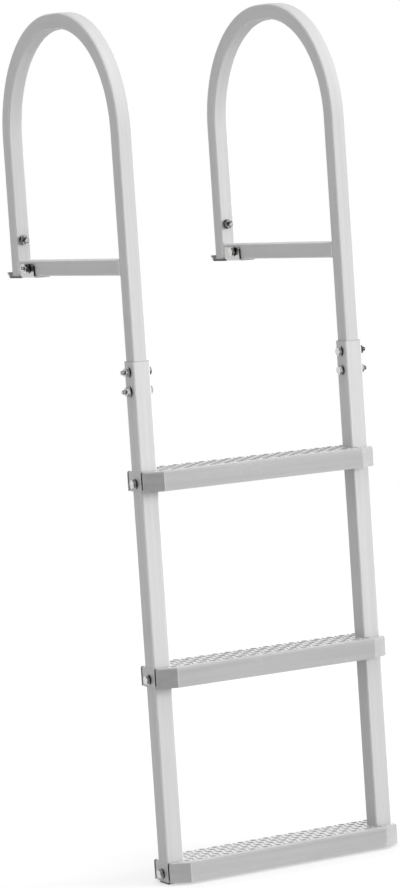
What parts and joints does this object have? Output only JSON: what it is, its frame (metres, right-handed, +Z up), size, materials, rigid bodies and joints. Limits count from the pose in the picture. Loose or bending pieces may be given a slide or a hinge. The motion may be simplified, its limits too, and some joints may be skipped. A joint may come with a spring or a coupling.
{
  "type": "swim ladder",
  "caption": "Dock ladder with two bent square-tube handrails, deck brackets, two plug-in lower rails and folded tray steps with raised treads.",
  "frame": {"origin": "underside of the left deck bracket, in the middle of its flat foot", "axes": "+X to the climber's right, +Y from the water towards the dock, +Z up"},
  "size_m": [0.4406, 0.4478, 1.3594],
  "materials": {
    "tube_aluminium": "drawn square tube, clear satin anodised, fine lengthwise grain",
    "tread_aluminium": "folded raised-pattern sheet, mill finish, slightly darker than the tubes",
    "bracket_stainless": "folded stainless plate, polished",
    "fastener_stainless": "stainless hexagon bolts, washers and nuts, bright",
    "plug_plastic": "moulded black polyethylene, fine matt grain"
  },
  "bodies": {
    "root": {"bolt_arm_left": "fastener_stainless", "bolt_arm_right": "fastener_stainless", "bolt_dock_left": "fastener_stainless", "bolt_dock_right": "fastener_stainless", "bolt_sleeve_left_lower": "fastener_stainless", "bolt_sleeve_left_upper": "fastener_stainless", "bolt_sleeve_right_lower": "fastener_stainless", "bolt_sleeve_right_upper": "fastener_stainless", "bolt_step_bottom_left": "fastener_stainless", "bolt_step_bottom_right": "fastener_stainless", "bolt_step_middle_left": "fastener_stainless", "bolt_step_middle_right": "fastener_stainless", "bolt_step_top_left": "fastener_stainless", "bolt_step_top_right": "fastener_stainless", "deck_arm_left": "tube_aluminium", "deck_arm_right": "tube_aluminium", "deck_bracket_left": "bracket_stainless", "deck_bracket_right": "bracket_stainless", "foot_plug_left": "plug_plastic", "foot_plug_right": "plug_plastic", "handrail_left": "tube_aluminium", "handrail_right": "tube_aluminium", "lower_rail_left": "tube_aluminium", "lower_rail_right": "tube_aluminium", "nut_arm_left": "fastener_stainless", "nut_arm_right": "fastener_stainless", "nut_dock_left": "fastener_stainless", "nut_dock_right": "fastener_stainless", "nut_sleeve_left_lower": "fastener_stainless", "nut_sleeve_left_upper": "fastener_stainless", "nut_sleeve_right_lower": "fastener_stainless", "nut_sleeve_right_upper": "fastener_stainless", "nut_step_bottom_left": "fastener_stainless", "nut_step_bottom_right": "fastener_stainless", "nut_step_middle_left": "fastener_stainless", "nut_step_middle_right": "fastener_stainless", "nut_step_top_left": "fastener_stainless", "nut_step_top_right": "fastener_stainless", "step_bottom": "tread_aluminium", "step_middle": "tread_aluminium", "step_top": "tread_aluminium"}
  },
  "joints": []
}
